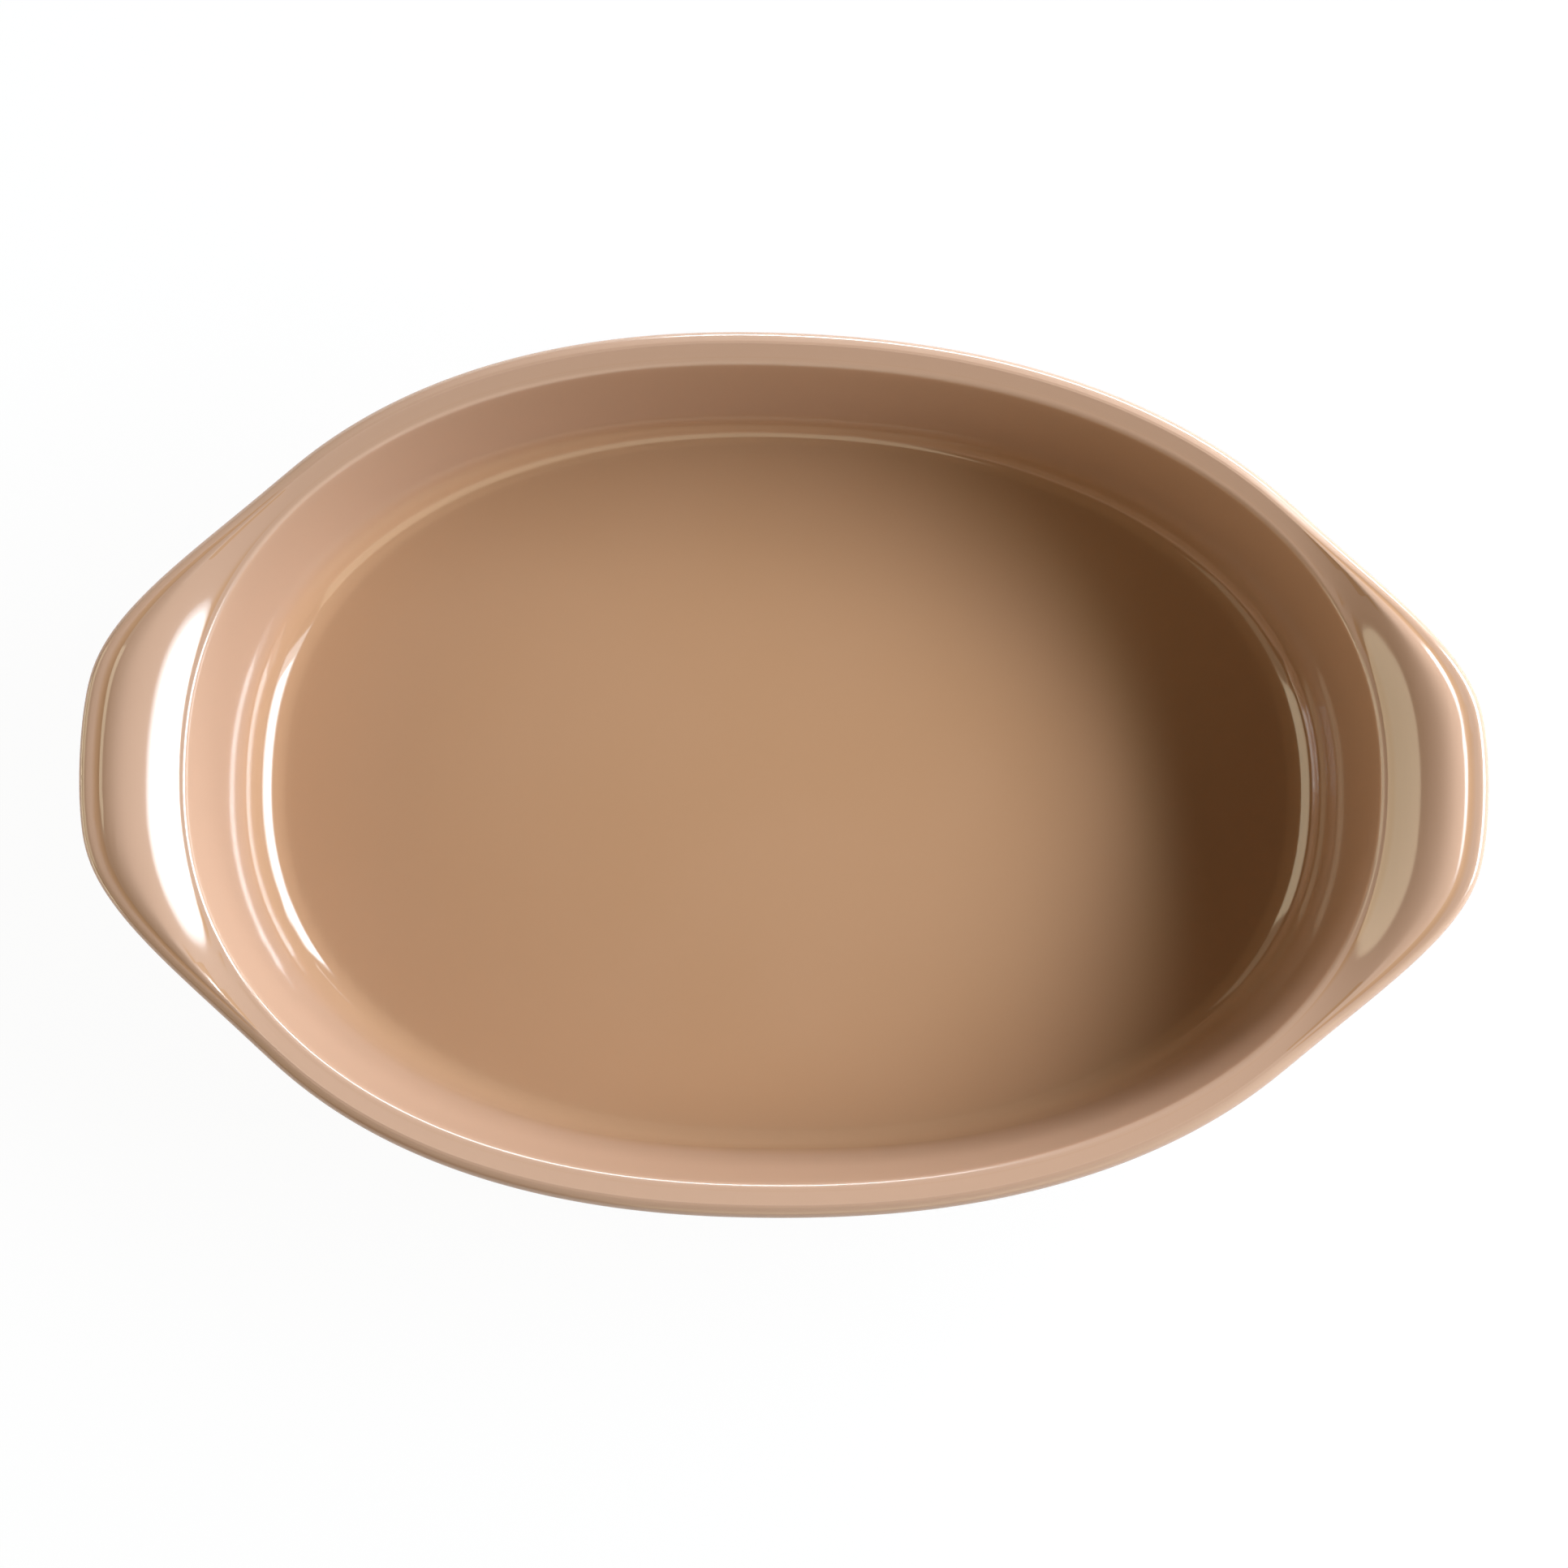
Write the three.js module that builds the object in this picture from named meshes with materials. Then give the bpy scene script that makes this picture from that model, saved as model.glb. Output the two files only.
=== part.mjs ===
// Oval oven dish in glazed stoneware, cast in one piece: a flat oval floor, a leaning wall, a rounded rim
// and a wide raised grip at each end. Millimetres, +Z up. The dish stands on z = 0 with its middle over the
// origin and its length along X.

import * as THREE from 'three';
import { LoftGeometry } from 'three/addons/geometries/LoftGeometry.js';

// Plan of the dish
const MOUTH_LENGTH = 348;
const MOUTH_WIDTH = 239;
const OVAL_FULLNESS = 2.22; // 2 is a plain ellipse, more is squarer
const FLOOR_INSET_END = 21.7; // how far the flat floor stops short of the mouth, at the ends and at the sides
const FLOOR_INSET_SIDE = 15;

// Wall, floor and rim
const RIM_HEIGHT = 66;
const FLOOR_THICKNESS = 7;
const WALL_THICKNESS = 6.5;
const WALL_DRAFT_END = THREE.MathUtils.degToRad(10); // the ends lean out more than the sides
const WALL_DRAFT_SIDE = THREE.MathUtils.degToRad(8.7);
const RIM_BAND = 10; // from the mouth to the outer edge
const RIM_EDGE = 6.4; // thickness of the full round outer edge
const RIM_RIDGE = 0.8; // from the rim's ridge to its round edge
const RIM_SLOPE = THREE.MathUtils.degToRad(20); // climb from the mouth to the ridge
const MOUTH_ROUND = 2;
const RIM_UNDERCUT = 15; // how far below the rim its underside has run into the wall

// Grips
const GRIP_REACH = 20; // beyond the rim
const GRIP_FLAT = 46; // length that stands at full reach
const GRIP_ROOT = 168; // length over which the grip grows out of the rim
const GRIP_CREST = 9.5; // height above the mouth
const GRIP_RIDGE = 8; // from the crest to the round edge of the lip
const GRIP_SLOPE = THREE.MathUtils.degToRad(42); // climb from the mouth towards the crest
const GRIP_LIP = 8.8; // height of the outer lip above the mouth
const GRIP_GROOVE = 0.65; // dip between the crest and the lip
const GRIP_EDGE = 5.5; // thickness of the lip
const GRIP_UNDERCUT = 27;

// Base
const BASE_CORNER_HEIGHT = 15;
const FOOT_OFFSET = 4; // the foot's outer edge stands this far outside the flat floor
const FOOT_BAND = 8;
const FOOT_RISE = 1.6; // height of the hollow inside the foot ring
const FOOT_ROUND = 1;

// Facets: rays round the dish, and steps along each curve of its skin
const STATIONS = 96;
const STEPS = {
  floor: 2,
  floorCorner: 8,
  wall: 3,
  mouth: 3,
  topInside: 6,
  topOutside: 7,
  edge: 3,
  underside: 5,
  outerWall: 3,
  baseCorner: 6,
  foot: 1,
  hollow: 2,
};

const GLAZE = new THREE.MeshStandardMaterial({ color: 0xba9276, roughness: 0.15, metalness: 0 });

// Handle lengths of a cubic curve: a quarter circle, and a softer corner
const QUARTER = 0.5523;
const SOFT = 0.6;

const UP = new THREE.Vector3(0, 0, 1);
const FLOOR_MIDDLE = new THREE.Vector3(0, 0, FLOOR_THICKNESS);
const HOLLOW_MIDDLE = new THREE.Vector3(0, 0, FOOT_RISE);

// A named oval of the plan, with its point on the ray at an angle and its outward direction at that point
class Oval {
  constructor(length, width) {
    this.halfLength = length / 2;
    this.halfWidth = width / 2;
  }

  point(angle) {
    const ray = new THREE.Vector3(Math.cos(angle), Math.sin(angle), 0);
    const alongLength = Math.abs(ray.x / this.halfLength) ** OVAL_FULLNESS;
    const alongWidth = Math.abs(ray.y / this.halfWidth) ** OVAL_FULLNESS;
    return ray.multiplyScalar((alongLength + alongWidth) ** (-1 / OVAL_FULLNESS));
  }

  outward(point) {
    const slope = (value, half) => Math.sign(value) * Math.abs(value / half) ** (OVAL_FULLNESS - 1) / half;
    return new THREE.Vector3(slope(point.x, this.halfLength), slope(point.y, this.halfWidth), 0).normalize();
  }
}

// The rim climbs evenly from the mouth's round to its ridge
const RIM_CLIMB = (RIM_BAND - RIM_EDGE / 2 - RIM_RIDGE - MOUTH_ROUND) * Math.tan(RIM_SLOPE);

const MOUTH = new Oval(MOUTH_LENGTH, MOUTH_WIDTH);
const FLOOR = new Oval(MOUTH_LENGTH - 2 * FLOOR_INSET_END, MOUTH_WIDTH - 2 * FLOOR_INSET_SIDE);

const move = (point, direction, distance) => point.clone().addScaledVector(direction, distance);
const line = (from, to) => new THREE.LineCurve3(from, to);

// A curve from one point to another that bends round a corner point
function bend(from, corner, to, pull) {
  const leaving = from.clone().lerp(corner, pull);
  const arriving = to.clone().lerp(corner, pull);
  return new THREE.CubicBezierCurve3(from, leaving, arriving, to);
}

// How much of a grip there is at a distance from the long axis: 1 over its flat, 0 past its root
function gripShare(distance) {
  return 1 - THREE.MathUtils.smoothstep(Math.abs(distance), GRIP_FLAT / 2, GRIP_ROOT / 2);
}

// The curves of the dish's skin on one ray, from the middle of the floor over the rim to the middle of the base
function skinCurves(angle) {
  const mouthPlan = MOUTH.point(angle);
  const out = MOUTH.outward(mouthPlan);
  const floorPlan = FLOOR.point(angle);
  const footOut = FLOOR.outward(floorPlan);

  // The straight wall leans out by its draft, so its lines run through the mouth along this direction
  const draft = THREE.MathUtils.lerp(WALL_DRAFT_SIDE, WALL_DRAFT_END, out.x ** 2);
  const wallUp = move(UP, out, Math.tan(draft));
  const mouth = move(mouthPlan, UP, RIM_HEIGHT);
  const floorEdge = move(floorPlan, UP, FLOOR_THICKNESS);
  const floorCorner = move(mouth, wallUp, FLOOR_THICKNESS - RIM_HEIGHT);
  // The curve round the floor is as high as it is wide
  const wallFoot = move(floorCorner, wallUp, floorCorner.distanceTo(floorEdge));
  const mouthInside = move(mouth, wallUp, -MOUTH_ROUND);

  // The rim's outer edge swings out along X at the grips, and the top climbs with it
  const rimPlan = move(mouthPlan, out, RIM_BAND);
  const share = gripShare(rimPlan.y);
  const reach = new THREE.Vector3(Math.sign(rimPlan.x) * GRIP_REACH * share, 0, 0);
  const across = rimPlan.add(reach).sub(mouthPlan);
  const band = across.length();
  across.normalize();
  const edge = THREE.MathUtils.lerp(RIM_EDGE, GRIP_EDGE, share);
  const topAt = (distance, height) => move(move(mouth, across, distance), UP, height);

  const topStart = topAt(MOUTH_ROUND, 0);
  const topEnd = topAt(band - edge / 2, THREE.MathUtils.lerp(RIM_CLIMB, GRIP_LIP, share));
  const ridge = THREE.MathUtils.lerp(RIM_RIDGE, GRIP_RIDGE, share);
  const climb = THREE.MathUtils.lerp(RIM_CLIMB, GRIP_CREST, share);
  const slope = THREE.MathUtils.lerp(RIM_SLOPE, GRIP_SLOPE, share);
  const crest = topAt(band - edge / 2 - ridge, climb);
  const climbCorner = topAt(MOUTH_ROUND + climb / Math.tan(slope), climb);
  const fall = ridge * SOFT;
  const grooveEnd = move(move(topEnd, across, -fall), UP, -share * GRIP_GROOVE);
  const outside = new THREE.CubicBezierCurve3(crest, move(crest, across, fall), grooveEnd, topEnd);

  // The full round edge, then the underside running back into the outer wall
  const edgeOut = move(move(topEnd, across, edge / 2), UP, -edge / 2);
  const edgeUnder = move(topEnd, UP, -edge);
  const outerMouth = move(mouth, out, WALL_THICKNESS);
  const undercut = THREE.MathUtils.lerp(RIM_UNDERCUT, GRIP_UNDERCUT, share);
  const wallTop = move(outerMouth, wallUp, -undercut);
  const underCorner = move(outerMouth, wallUp, edgeUnder.z - RIM_HEIGHT);

  // The outer wall, the round base corner and the foot ring with its hollow
  const wallBottom = move(outerMouth, wallUp, BASE_CORNER_HEIGHT - RIM_HEIGHT);
  const footAt = (inset, height) => move(move(floorPlan, footOut, FOOT_OFFSET - inset), UP, height);
  const footOuter = footAt(0, FOOT_ROUND);
  const baseCorner = move(outerMouth, wallUp, FOOT_ROUND - RIM_HEIGHT);
  const hollowEdge = footAt(FOOT_BAND, FOOT_RISE);

  return [
    [line(FLOOR_MIDDLE, floorEdge), STEPS.floor],
    [bend(floorEdge, floorCorner, wallFoot, QUARTER), STEPS.floorCorner],
    [line(wallFoot, mouthInside), STEPS.wall],
    [bend(mouthInside, mouth, topStart, QUARTER), STEPS.mouth],
    [bend(topStart, climbCorner, crest, QUARTER), STEPS.topInside],
    [outside, STEPS.topOutside],
    [bend(topEnd, move(edgeOut, UP, edge / 2), edgeOut, QUARTER), STEPS.edge],
    [bend(edgeOut, move(edgeOut, UP, -edge / 2), edgeUnder, QUARTER), STEPS.edge],
    [bend(edgeUnder, underCorner, wallTop, SOFT), STEPS.underside],
    [line(wallTop, wallBottom), STEPS.outerWall],
    [bend(wallBottom, baseCorner, footOuter, SOFT), STEPS.baseCorner],
    [line(footOuter, footAt(FOOT_ROUND, 0)), STEPS.foot],
    [line(footAt(FOOT_ROUND, 0), footAt(FOOT_BAND - FOOT_ROUND, 0)), STEPS.foot],
    [line(footAt(FOOT_BAND - FOOT_ROUND, 0), hollowEdge), STEPS.foot],
    [line(hollowEdge, HOLLOW_MIDDLE), STEPS.hollow],
  ];
}

// The skin's points on one ray, each curve cut into its steps
function skinPoints(angle) {
  const curves = skinCurves(angle);
  const points = [curves[0][0].getPoint(0)];
  for (const [curve, steps] of curves) points.push(...curve.getPoints(steps).slice(1));
  return points;
}

// Rays at even steps round a circle that is stretched to the mouth
function stationAngle(station) {
  const turn = -2 * Math.PI * station / STATIONS;
  return Math.atan2(MOUTH_WIDTH * Math.sin(turn), MOUTH_LENGTH * Math.cos(turn));
}

// Each ring of the loft takes the same point from every ray; the first and last shrink to the middle
function dishGeometry() {
  const rays = Array.from({ length: STATIONS }, (_, station) => skinPoints(stationAngle(station)));
  const rings = rays[0].map((_, ring) => rays.map((points) => points[ring]));
  return new LoftGeometry(rings);
}

const dish = new THREE.Mesh(dishGeometry(), GLAZE);
dish.name = 'baking_dish';

const part = new THREE.Group();
part.add(dish);

export default part;
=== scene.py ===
# %% [markdown]
# # An oval oven dish in sandy glaze
#
# This lesson dresses one stoneware oven dish for a studio picture. Its sizes are settled already: a
# measured model holds them, and this file adds what a camera sees, which is the smooth skin, the glaze, the
# bare clay under the foot, the table, the light and the camera. Lengths are metres. The dish stands at
# height 0, with its middle over the origin and its length along X.

# %% Load the measured dish
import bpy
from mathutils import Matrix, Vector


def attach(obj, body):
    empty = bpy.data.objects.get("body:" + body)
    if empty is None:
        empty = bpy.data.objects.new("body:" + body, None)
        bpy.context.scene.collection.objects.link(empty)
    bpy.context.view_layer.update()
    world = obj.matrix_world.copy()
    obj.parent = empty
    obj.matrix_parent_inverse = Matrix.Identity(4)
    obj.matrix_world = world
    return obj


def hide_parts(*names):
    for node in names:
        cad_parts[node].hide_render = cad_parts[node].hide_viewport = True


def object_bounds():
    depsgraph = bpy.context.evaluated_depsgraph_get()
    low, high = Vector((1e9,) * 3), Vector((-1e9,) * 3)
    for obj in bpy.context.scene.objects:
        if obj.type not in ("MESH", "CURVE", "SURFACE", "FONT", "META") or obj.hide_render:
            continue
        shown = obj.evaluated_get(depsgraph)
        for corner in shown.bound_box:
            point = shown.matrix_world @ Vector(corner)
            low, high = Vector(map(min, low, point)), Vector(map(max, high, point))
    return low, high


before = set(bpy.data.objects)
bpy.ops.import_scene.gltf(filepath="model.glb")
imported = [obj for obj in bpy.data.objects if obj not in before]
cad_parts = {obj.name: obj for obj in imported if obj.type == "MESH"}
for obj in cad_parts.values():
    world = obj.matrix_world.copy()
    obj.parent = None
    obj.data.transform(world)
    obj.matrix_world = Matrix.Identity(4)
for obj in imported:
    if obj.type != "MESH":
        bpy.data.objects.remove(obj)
measured_low, measured_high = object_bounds()


def millimetres(sides):
    return [round(1000 * side, 1) for side in sides]


print("measured dish, mm:", millimetres(measured_high - measured_low))

# %% [markdown]
# ## The camera
#
# A dish is usually shown from a stand above the table, so that the eye falls straight into it. The camera
# hangs a metre over the rim, a little to the front, and leans back to look at the middle. A long lens keeps
# both ends of the dish the same size. Its focal length was found in pixels of the picture, and Blender
# wants it in millimetres on a sensor, so one is worked out from the other.

# %% Hang the camera over the dish
import bpy
from math import radians

PICTURE_SIDE = 1932
FOCAL_PIXELS = 4247
CAMERA_PLACE = (0.019, -0.074, 1.066)
CAMERA_TILT = (4.02, 1.05, 1.40)  # degrees about X, Y and Z


def put(name, data):
    thing = bpy.data.objects.new(name, data)
    bpy.context.scene.collection.objects.link(thing)
    return thing


camera = put("camera", bpy.data.cameras.new("camera"))
camera.data.lens = camera.data.sensor_width * FOCAL_PIXELS / PICTURE_SIDE
camera.location = CAMERA_PLACE
camera.rotation_mode = "ZXY"
camera.rotation_euler = [radians(tilt) for tilt in CAMERA_TILT]
bpy.context.scene.camera = camera
print("lens, mm:", round(camera.data.lens, 1))

# %% [markdown]
# ## One skin
#
# The dish is one casting, so it is one mesh. It could be spun from a profile and drawn out to an oval, but
# the grips would then have to be pulled out by hand. The measured model already has each ring of the wall,
# the rim and the grips in its place, only in flat facets. So a copy of it is taken: its loose triangles are
# merged at their corners and joined in pairs to four-sided faces, which a subdivision surface can round
# without creases.

# %% Merge a copy of the measured surface
import bmesh
from math import pi

SAME_POINT = 1e-6
ANY_ANGLE = pi

skin = bmesh.new()
skin.from_mesh(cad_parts["baking_dish"].data)
bmesh.ops.remove_doubles(skin, verts=skin.verts, dist=SAME_POINT)
bmesh.ops.join_triangles(
    skin, faces=skin.faces, angle_face_threshold=ANY_ANGLE, angle_shape_threshold=ANY_ANGLE)
four_sided = sum(len(face.verts) == 4 for face in skin.faces)
print("faces:", len(skin.faces), "of which four-sided:", four_sided)

# %% [markdown]
# ## A little out of true
#
# Clay shrinks by about a tenth as it dries and fires, and never quite evenly. This dish came out slimmer
# towards one end, by a few millimetres that nobody measures but the eye takes in. A lattice could bend the
# mesh, but such a shrinkage is one smooth change of place, so each point of the skin is moved by a small
# formula of how far along the dish it lies.

# %% Let the dish shrink unevenly
SLIMMING = 0.030  # share of the width lost at the right-hand tip, and gained at the left-hand one
BOW = 0.0016  # how far both tips hang to the front

for point in skin.verts:
    along = point.co.x / measured_high.x
    point.co.y *= 1 - SLIMMING * along
    point.co.y -= BOW * along ** 2
print("slimmer by", SLIMMING, "at the far end, bowed by", BOW)

# %% [markdown]
# ## How sharply the skin bends
#
# Glaze is a liquid glass in the kiln. It creeps off every sharp edge and gathers in every hollow. Here the
# bend paints light and shade into the colour. Edges are a little lighter, as a painted highlight, and the
# hollow round the floor is a little darker, as painted shade. The shader needs to know how sharply the skin
# bends at each point. Pointiness in the Geometry node says so too, but in one renderer only and on no real
# scale. So the bend is read off the mesh: a point that stands proud of its neighbours is on an edge, and
# one that lies below them is in a hollow. It is kept as one number for each point, which is about one over
# the radius of the bend.

# %% Measure the bend of the skin
def bend_at(point):
    rises = [point.co - edge.other_vert(point).co for edge in point.link_edges]
    return sum(2 * rise.dot(point.normal) / rise.length_squared for rise in rises) / len(rises)


skin.normal_update()
bend = skin.verts.layers.float.new("bend")
for point in skin.verts:
    point[bend] = bend_at(point)
bends = [round(point[bend]) for point in skin.verts]
print("bend from", min(bends), "to", max(bends))

# %% [markdown]
# ## From skin to piece
#
# The bmesh becomes an object. A finer mesh could be cut at once, but a subdivision surface also rounds the
# facets, and two levels leave the skin fine enough for a sharp reflection to run along it. The piece stands
# for the measured node and rides on the same body.

# %% Make the dish
ROUNDING_LEVELS = 2

dish = put("oval_dish", bpy.data.meshes.new("oval_dish"))
skin.to_mesh(dish.data)
skin.free()
dish.data.shade_smooth()
rounding = dish.modifiers.new("rounding", "SUBSURF")
rounding.levels = ROUNDING_LEVELS
rounding.render_levels = ROUNDING_LEVELS
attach(dish, "root")
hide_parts("baking_dish")
print("dish:", len(dish.data.polygons), "faces before rounding")

# %% [markdown]
# ## Shader sums in plain Python
#
# A material is a net of nodes. Wiring each by hand hides the idea behind it, so a small class wraps one
# socket and lets Python's own signs add the Math nodes: `1 - mask` is then a real node.

# %% Wrap a socket
class Value:
    def __init__(self, socket):
        self.socket = socket

    def maths(self, operation, *terms):
        node = self.socket.id_data.nodes.new("ShaderNodeMath")
        node.operation = operation
        for slot, term in zip(node.inputs, terms):
            fill(slot, term)
        return Value(node.outputs[0])

    def __add__(self, other):
        return self.maths("ADD", self, other)

    def __sub__(self, other):
        return self.maths("SUBTRACT", self, other)

    def __rsub__(self, other):
        return self.maths("SUBTRACT", other, self)

    def __mul__(self, other):
        return self.maths("MULTIPLY", self, other)

    __radd__ = __add__
    __rmul__ = __mul__


def fill(slot, term):
    if isinstance(term, Value):
        slot.id_data.links.new(term.socket, slot)
    else:
        slot.default_value = term


def methods(kind):
    return [name for name, part in vars(kind).items() if callable(part)]


print("a value has:", methods(Value))

# %% [markdown]
# ## Any node in one line
#
# Every other node needs three things: its choices, such as what kind of data it mixes, then values or links
# for its sockets, and the name of the output that is used next. One method takes all three. Two more lean
# on it for the nodes that this dish uses most, a mix of two colours and a soft step from 0 to 1.

# %% Make any node
class Net:
    def __init__(self, owner):
        owner.use_nodes = True
        self.nodes = owner.node_tree.nodes
        self.nodes.clear()

    def add(self, kind, settings, sockets, output=0):
        node = self.nodes.new("ShaderNode" + kind)
        for name, choice in settings.items():
            setattr(node, name, choice)
        for name, term in sockets.items():
            slot = next(slot for slot in node.inputs if name in (slot.identifier, slot.name))
            fill(slot, term)
        if not node.outputs:
            return node
        return Value(node.outputs[output])

    def mixed(self, share, first, second):
        return self.add("Mix", {"data_type": "RGBA"},
                        {"Factor_Float": share, "A_Color": first, "B_Color": second}, "Result")

    def stepped(self, value, start, full):
        return self.add("MapRange", {"interpolation_type": "SMOOTHSTEP"},
                        {"Value": value, "From Min": start, "From Max": full})


print("a net has:", methods(Net))

# %% [markdown]
# ## The glaze
#
# A shiny stoneware glaze is never one flat colour. It clouds a little over a hand's width and is finely
# mottled where crystals grew in it. Light and shade are also painted into its colour. The wall, the rim and
# the grips are painted lighter and pinker, the way brightly lit glaze looks. The edges are lighter still,
# as a painted highlight, and the hollow round the floor is a little darker, as painted shade. All of these
# are faint here, since the real glaze is an even one. They could be painted on by hand, but height and bend
# already tell where each belongs, and two noises give the rest.

# %% Read height, bend and noise
finish = bpy.data.materials.new("sand_glaze")
glaze_net = Net(finish)
place = glaze_net.add("TexCoord", {}, {}, "Object")
height = glaze_net.add("SeparateXYZ", {}, {"Vector": place}, "Z")
skin_bend = glaze_net.add("Attribute", {"attribute_name": "bend"}, {}, "Fac")


def noise(size, layers):
    return glaze_net.add("TexNoise", {}, {"Vector": place, "Scale": 1 / size, "Detail": layers}, "Fac")


print("glaze reads:", [node.name for node in glaze_net.nodes])

# %% Mix the glaze colour
# A noise has a size and a number of finer layers. Other pairs say where an effect starts and is full.
CLOUD_NOISE = (0.07, 2)
MOTTLE_NOISE = (0.0025, 3)
CLOUD_STEP = (0.35, 0.65)
CLOUD_SHARE = 0.7
# Painted light: up the wall, the rim and the grips the glaze is painted lighter and pinker, as lit glaze
# looks.
PAINTED_LIGHT_HEIGHT = (0.007, 0.026)
PAINTED_LIGHT_SHARE = 0.85
# Painted highlight: sharp edges are painted lighter and pinker.
EDGE_BEND = (60, 260)
# Painted shade: the hollow round the floor is painted a little darker.
HOLLOW_BEND = (-20, -90)
GLAZE = (0.43, 0.235, 0.128, 1)
GLAZE_CLOUD = (0.44, 0.243, 0.136, 1)
GLAZE_PAINTED_LIGHT = (0.45, 0.277, 0.194, 1)
GLAZE_PAINTED_SHADE = (0.42, 0.232, 0.13, 1)
GLAZE_PAINTED_HIGHLIGHT = (0.465, 0.288, 0.2, 1)

cloud = glaze_net.stepped(noise(*CLOUD_NOISE), *CLOUD_STEP)
mottle = noise(*MOTTLE_NOISE)
# Painted light: the lighter, pinker tone up the wall, the rim and the grips.
high = glaze_net.stepped(height, *PAINTED_LIGHT_HEIGHT) * PAINTED_LIGHT_SHARE
# Painted shade in the hollow round the floor.
painted_shade = glaze_net.stepped(skin_bend, *HOLLOW_BEND)
# Painted highlight on the edges; the same mask raises the roughness there.
edge_highlight_and_roughness = glaze_net.stepped(skin_bend, *EDGE_BEND)
tone = glaze_net.mixed(cloud * CLOUD_SHARE + mottle * (1 - CLOUD_SHARE), GLAZE, GLAZE_CLOUD)
tone = glaze_net.mixed(high, tone, GLAZE_PAINTED_LIGHT)
tone = glaze_net.mixed(painted_shade, tone, GLAZE_PAINTED_SHADE)
tone = glaze_net.mixed(edge_highlight_and_roughness, tone, GLAZE_PAINTED_HIGHLIGHT)
print("glaze nodes:", len(glaze_net.nodes))

# %% [markdown]
# ## Bare clay on the foot
#
# A glazed foot would stick to the kiln shelf, so the potter wipes it before firing and the ring that the
# dish stands on is bare, pale and rough. The wiped line is not ruler-straight. The foot could have a
# material of its own, but the line would then follow the faces. Height alone tells foot from dish, with a
# little noise added to it, and the same mask then mixes the colour and the roughness.

# %% Wipe the foot
WIPED_HEIGHT = 0.0007
WIPED_WAVER = 0.0006
WIPED_BLUR = 0.0001
WAVER_NOISE = (0.012, 2)
NOISE_MIDDLE = 0.5
GRAIN_NOISE = (0.0012, 4)
CLAY = (0.50, 0.37, 0.26, 1)
CLAY_GRAIN = (0.60, 0.47, 0.35, 1)

wiped_line = WIPED_HEIGHT + WIPED_WAVER * (noise(*WAVER_NOISE) - NOISE_MIDDLE)
bare = glaze_net.stepped(height - wiped_line, WIPED_BLUR, -WIPED_BLUR)
clay = glaze_net.mixed(noise(*GRAIN_NOISE), CLAY, CLAY_GRAIN)
tone = glaze_net.mixed(bare, tone, clay)
print("bare clay up to, mm:", millimetres([WIPED_HEIGHT]))

# %% [markdown]
# ## The gloss
#
# A glaze that has set is glass, and it mirrors the room. How sharp the mirror is comes from the roughness:
# low all over, a little uneven with the mottle, higher on edges, where the glaze ran off and came out
# drier, and quite matt on the bare clay. A shallow bump lets reflections waver, as they do on glass that
# ran. The glaze mirrors more than a window pane does, so its index of refraction is above a pane's 1.5.

# %% Gloss and surface
GLAZE_ROUGHNESS = 0.07
MOTTLE_ROUGHNESS = 0.03
EDGE_ROUGHNESS = 0.14
CLAY_ROUGHNESS = 0.85
RIPPLE_NOISE = (0.03, 1)
RIPPLE_DEPTH = 0.00004
GLAZE_INDEX = 1.75

gloss = GLAZE_ROUGHNESS + MOTTLE_ROUGHNESS * mottle + EDGE_ROUGHNESS * edge_highlight_and_roughness
roughness = gloss * (1 - bare) + CLAY_ROUGHNESS * bare
ripple = glaze_net.add("Bump", {}, {"Height": noise(*RIPPLE_NOISE), "Distance": RIPPLE_DEPTH}, "Normal")
surface = glaze_net.add("BsdfPrincipled", {}, {
    "Base Color": tone, "Roughness": roughness, "Normal": ripple, "IOR": GLAZE_INDEX})
glaze_net.add("OutputMaterial", {}, {"Surface": surface})
dish.data.materials.append(finish)
print("finish:", finish.name, "with", len(glaze_net.nodes), "nodes")

# %% [markdown]
# ## The table
#
# The dish stands on a plain white table that fills the picture. A matt white floor would need far more
# light than the dish to turn out white. So the camera, and a reflection too, sees the table glow at a
# strength of 1, with a small share of its real shading that keeps the shadow of the dish. Light that
# bounces off it on the way to the dish meets an ordinary matt surface.

# %% Lay the table
TABLE_SIDE = 12

table = put("table", bpy.data.meshes.new("table"))
table_top = bmesh.new()
bmesh.ops.create_grid(table_top, x_segments=1, y_segments=1, size=TABLE_SIDE / 2)
table_top.to_mesh(table.data)
table_top.free()
print("table:", TABLE_SIDE, "m wide")

# %% Paint the table
WHITE = (1, 1, 1, 1)
TABLE_PAINT = (0.8, 0.8, 0.8, 1)
SHADOW_SHARE = 0.045


def ray_kinds(net):
    kinds = ["Is Camera Ray", "Is Glossy Ray", "Is Transmission Ray"]
    return [net.add("LightPath", {}, {}, kind) for kind in kinds]


paint = bpy.data.materials.new("table_paint")
table_net = Net(paint)
camera_ray, glossy_ray, glass_ray = ray_kinds(table_net)
seen = camera_ray + glossy_ray + glass_ray
matt = table_net.add("BsdfDiffuse", {}, {"Color": TABLE_PAINT})
glow = table_net.add("Emission", {}, {"Color": WHITE, "Strength": 1.0})
shaded_glow = table_net.add("MixShader", {}, {"Fac": SHADOW_SHARE, "Shader": glow, "Shader_001": matt})
painted = table_net.add("MixShader", {}, {"Fac": seen, "Shader": matt, "Shader_001": shaded_glow})
table_net.add("OutputMaterial", {}, {"Surface": painted})
table.data.materials.append(paint)
print("table paint:", len(table_net.nodes), "nodes")

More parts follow.
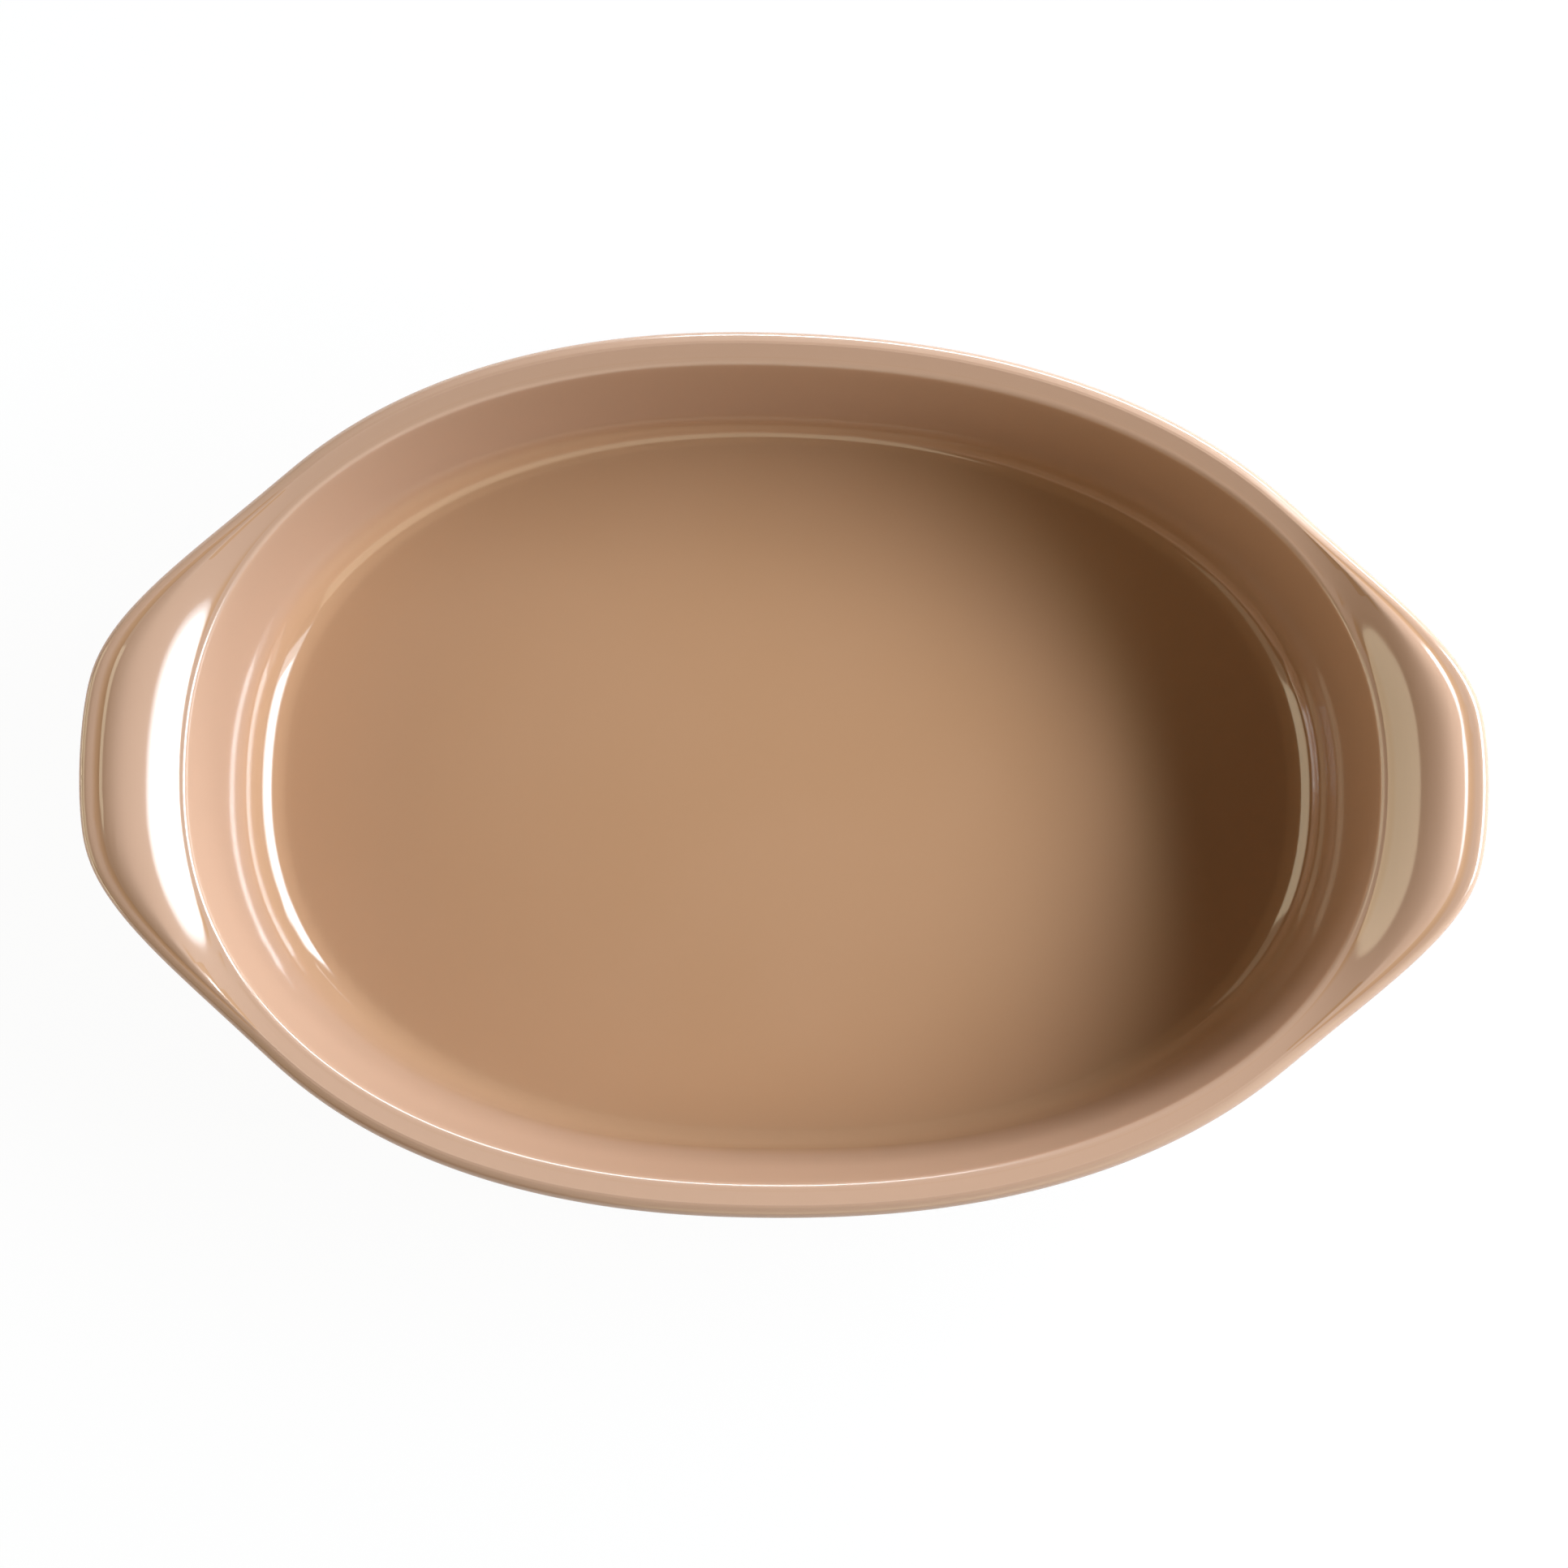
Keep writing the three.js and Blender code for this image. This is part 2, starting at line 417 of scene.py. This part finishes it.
# %% [markdown]
# ## The room
#
# Round a studio table hangs a white backdrop, and the room above it is dark, so that nothing bright lies
# straight over a shiny dish. Walls could be modelled, but the world can stand for both. The camera sees
# white wherever it looks past the table, and a reflection sees white only near the horizon. Neither lights
# the dish, which is left to the panels.

# %% Hang the backdrop
from math import asin, degrees

BACKDROP_EDGE = (0.05, 0.20)  # upward part of a direction, which is 0 when level and 1 straight up

room = bpy.data.worlds.new("room")
bpy.context.scene.world = room
room_net = Net(room)
camera_ray, glossy_ray, glass_ray = ray_kinds(room_net)
looking = room_net.add("TexCoord", {}, {}, "Generated")
upward = room_net.add("SeparateXYZ", {}, {"Vector": looking}, "Z")
backdrop = 1 - room_net.stepped(upward, *BACKDROP_EDGE)
strength = camera_ray + (glossy_ray + glass_ray) * backdrop
walls = room_net.add("Background", {}, {"Color": WHITE, "Strength": strength})
room_net.add("OutputWorld", {}, {"Surface": walls})
print("backdrop fades out, degrees up:", [round(degrees(asin(edge)), 1) for edge in BACKDROP_EDGE])

# %% [markdown]
# ## A panel of light
#
# Shiny ware shows its lights as white shapes, so the lights are large soft panels, and their edges are as
# much part of the picture as the dish. Each is placed as a photographer would say it: from where to where
# it reaches round the dish, in degrees from the right-hand grip towards the back, and how high it stands.
# Its brightness is what it would look like in a mirror, and its power follows from that and its area.

# %% Make a panel
from math import cos, sin, tan
from mathutils import Vector

FAR = 1.6


def direction(turn, rise):
    return Vector((cos(rise) * cos(turn), cos(rise) * sin(turn), sin(rise)))


def side_across(angles):
    return 2 * FAR * tan(radians(angles[1] - angles[0]) / 2)


def panel(name, turn, rise, brightness, tint):
    middle_rise = radians(sum(rise) / 2)
    towards = direction(radians(sum(turn) / 2), middle_rise)
    light = bpy.data.lights.new(name, "AREA")
    light.shape = "RECTANGLE"
    light.size = side_across(turn) * cos(middle_rise)
    light.size_y = side_across(rise)
    light.color = tint
    light.energy = brightness * pi * light.size * light.size_y
    lamp = put(name, light)
    lamp.location = FAR * towards
    lamp.rotation_euler = (-towards).to_track_quat("-Z", "Y").to_euler()
    lamp.visible_camera = False
    print(name, "is", round(light.size, 2), "by", round(light.size_y, 2), "m")


# %% [markdown]
# ## The softbox
#
# The main light is one wide softbox on the right, low enough for the wall there to throw its shadow over
# the floor. A real one is brightest in its middle and fades to its edges. A plain panel doesn't fade, but
# light passes through panels, so four of them nested add up to a bright core with a soft edge. The edge of
# the shadow is softened by the same fade.

# %% Light the dish from the right
DAYLIGHT = (0.88, 1.0, 1.09)
SOFTBOX_TURN = (-16, 44)

panel("softbox_edge", turn=(-24, 45), rise=(18.5, 47), brightness=3.4, tint=DAYLIGHT)
panel("softbox_outer", turn=SOFTBOX_TURN, rise=(21, 46), brightness=3.0, tint=DAYLIGHT)
panel("softbox_inner", turn=SOFTBOX_TURN, rise=(24, 44), brightness=5.0, tint=DAYLIGHT)
panel("softbox_core", turn=SOFTBOX_TURN, rise=(27.5, 41), brightness=11.0, tint=DAYLIGHT)

# %% [markdown]
# ## The fills
#
# Weaker panels stand where a photographer props up cards. Those on the left light the right-hand wall from
# inside and show in the slope of the right-hand grip. They are tinted warm, to keep the shadows brown. Two
# low strips behind brighten the inside of the front wall and draw thin lines along the floor's curve and
# the rim. A dim reflector in front lights the inside of the back wall.

# %% Fill the shadows
WARM = (1.0, 0.90, 0.64)

panel("left_reflector", turn=(150, 200), rise=(20, 44.5), brightness=2.1, tint=WARM)
panel("left_wings", turn=(130, 230), rise=(24, 44.5), brightness=0.5, tint=WARM)
panel("left_card", turn=(165, 215), rise=(3, 12), brightness=6.0, tint=WARM)
panel("back_strip", turn=(50, 98), rise=(8, 14.4), brightness=26.0, tint=DAYLIGHT)
panel("side_strip", turn=(45, 62), rise=(8, 15), brightness=8.0, tint=DAYLIGHT)
panel("front_reflector", turn=(260, 325), rise=(14, 40), brightness=1.3, tint=WARM)

# %% [markdown]
# ## Colour
#
# The Standard view shows a colour as it was written.

bpy.context.scene.view_settings.view_transform = "Standard"
